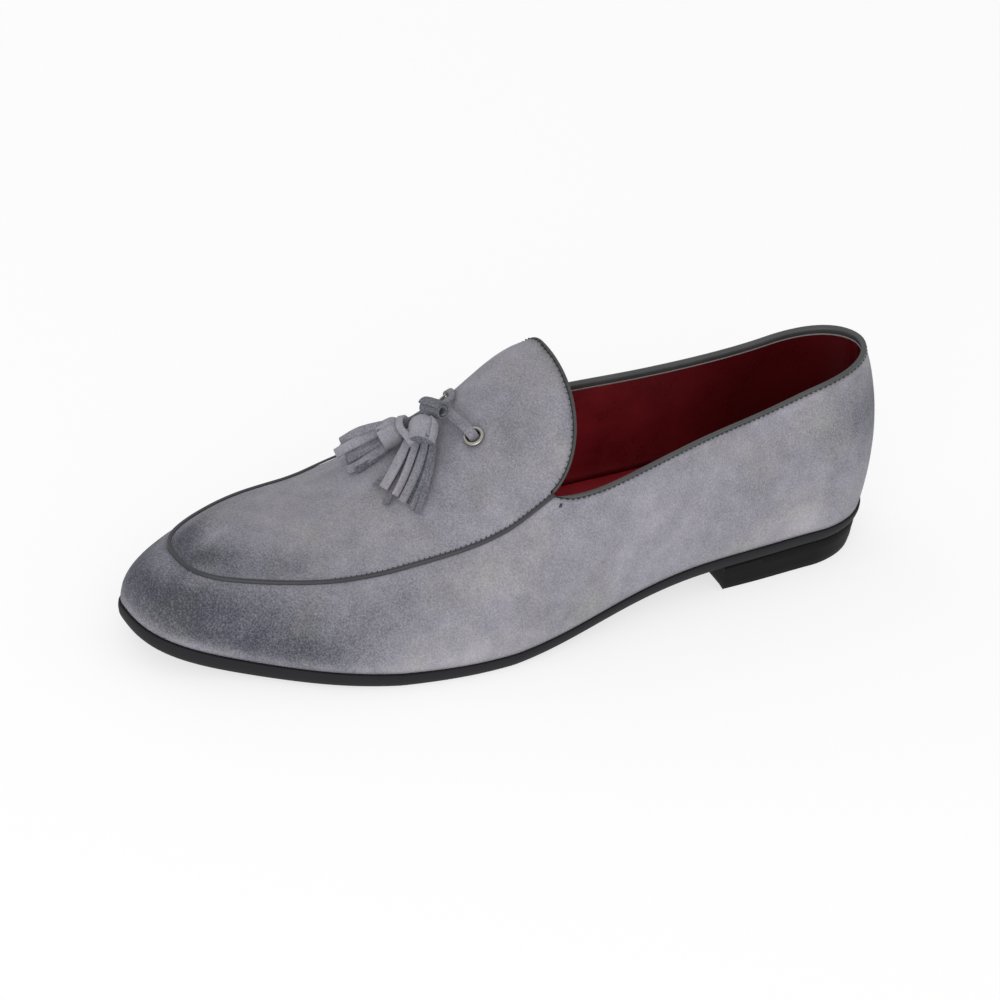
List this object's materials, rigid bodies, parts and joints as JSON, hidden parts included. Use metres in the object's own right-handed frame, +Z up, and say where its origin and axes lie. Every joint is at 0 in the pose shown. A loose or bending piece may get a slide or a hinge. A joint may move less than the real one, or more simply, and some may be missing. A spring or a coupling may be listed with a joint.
{
  "type": "tassel loafer",
  "caption": "Left tassel loafer in grey suede with a raised apron seam, bound collar, red lining, nickel eyelets, a thong with tassels and a thin black sole on a low heel.",
  "frame": {"origin": "on the ground under the middle of the shoe's box", "axes": "+Z up from the ground, +Y from toe to heel, +X towards the outer side of the foot"},
  "size_m": [0.1108, 0.3022, 0.0934],
  "materials": {
    "suede": "matte nap, clouded from pale to slate grey",
    "tassel_suede": "matte nap",
    "binding": "dull",
    "lining": "polished",
    "sole": "satin edge dressing",
    "heel": "satin",
    "nickel": "bright"
  },
  "bodies": {
    "root": {"upper": "suede", "apron_piping": "binding", "collar_binding": "binding", "tongue_binding": "binding", "insole": "lining", "outsole": "sole", "heel": "heel", "eyelet_outer": "nickel", "eyelet_inner": "nickel", "tassel_strap": "tassel_suede", "tassel_knot": "tassel_suede", "tassel_outer": "tassel_suede", "tassel_inner": "tassel_suede"}
  },
  "joints": []
}
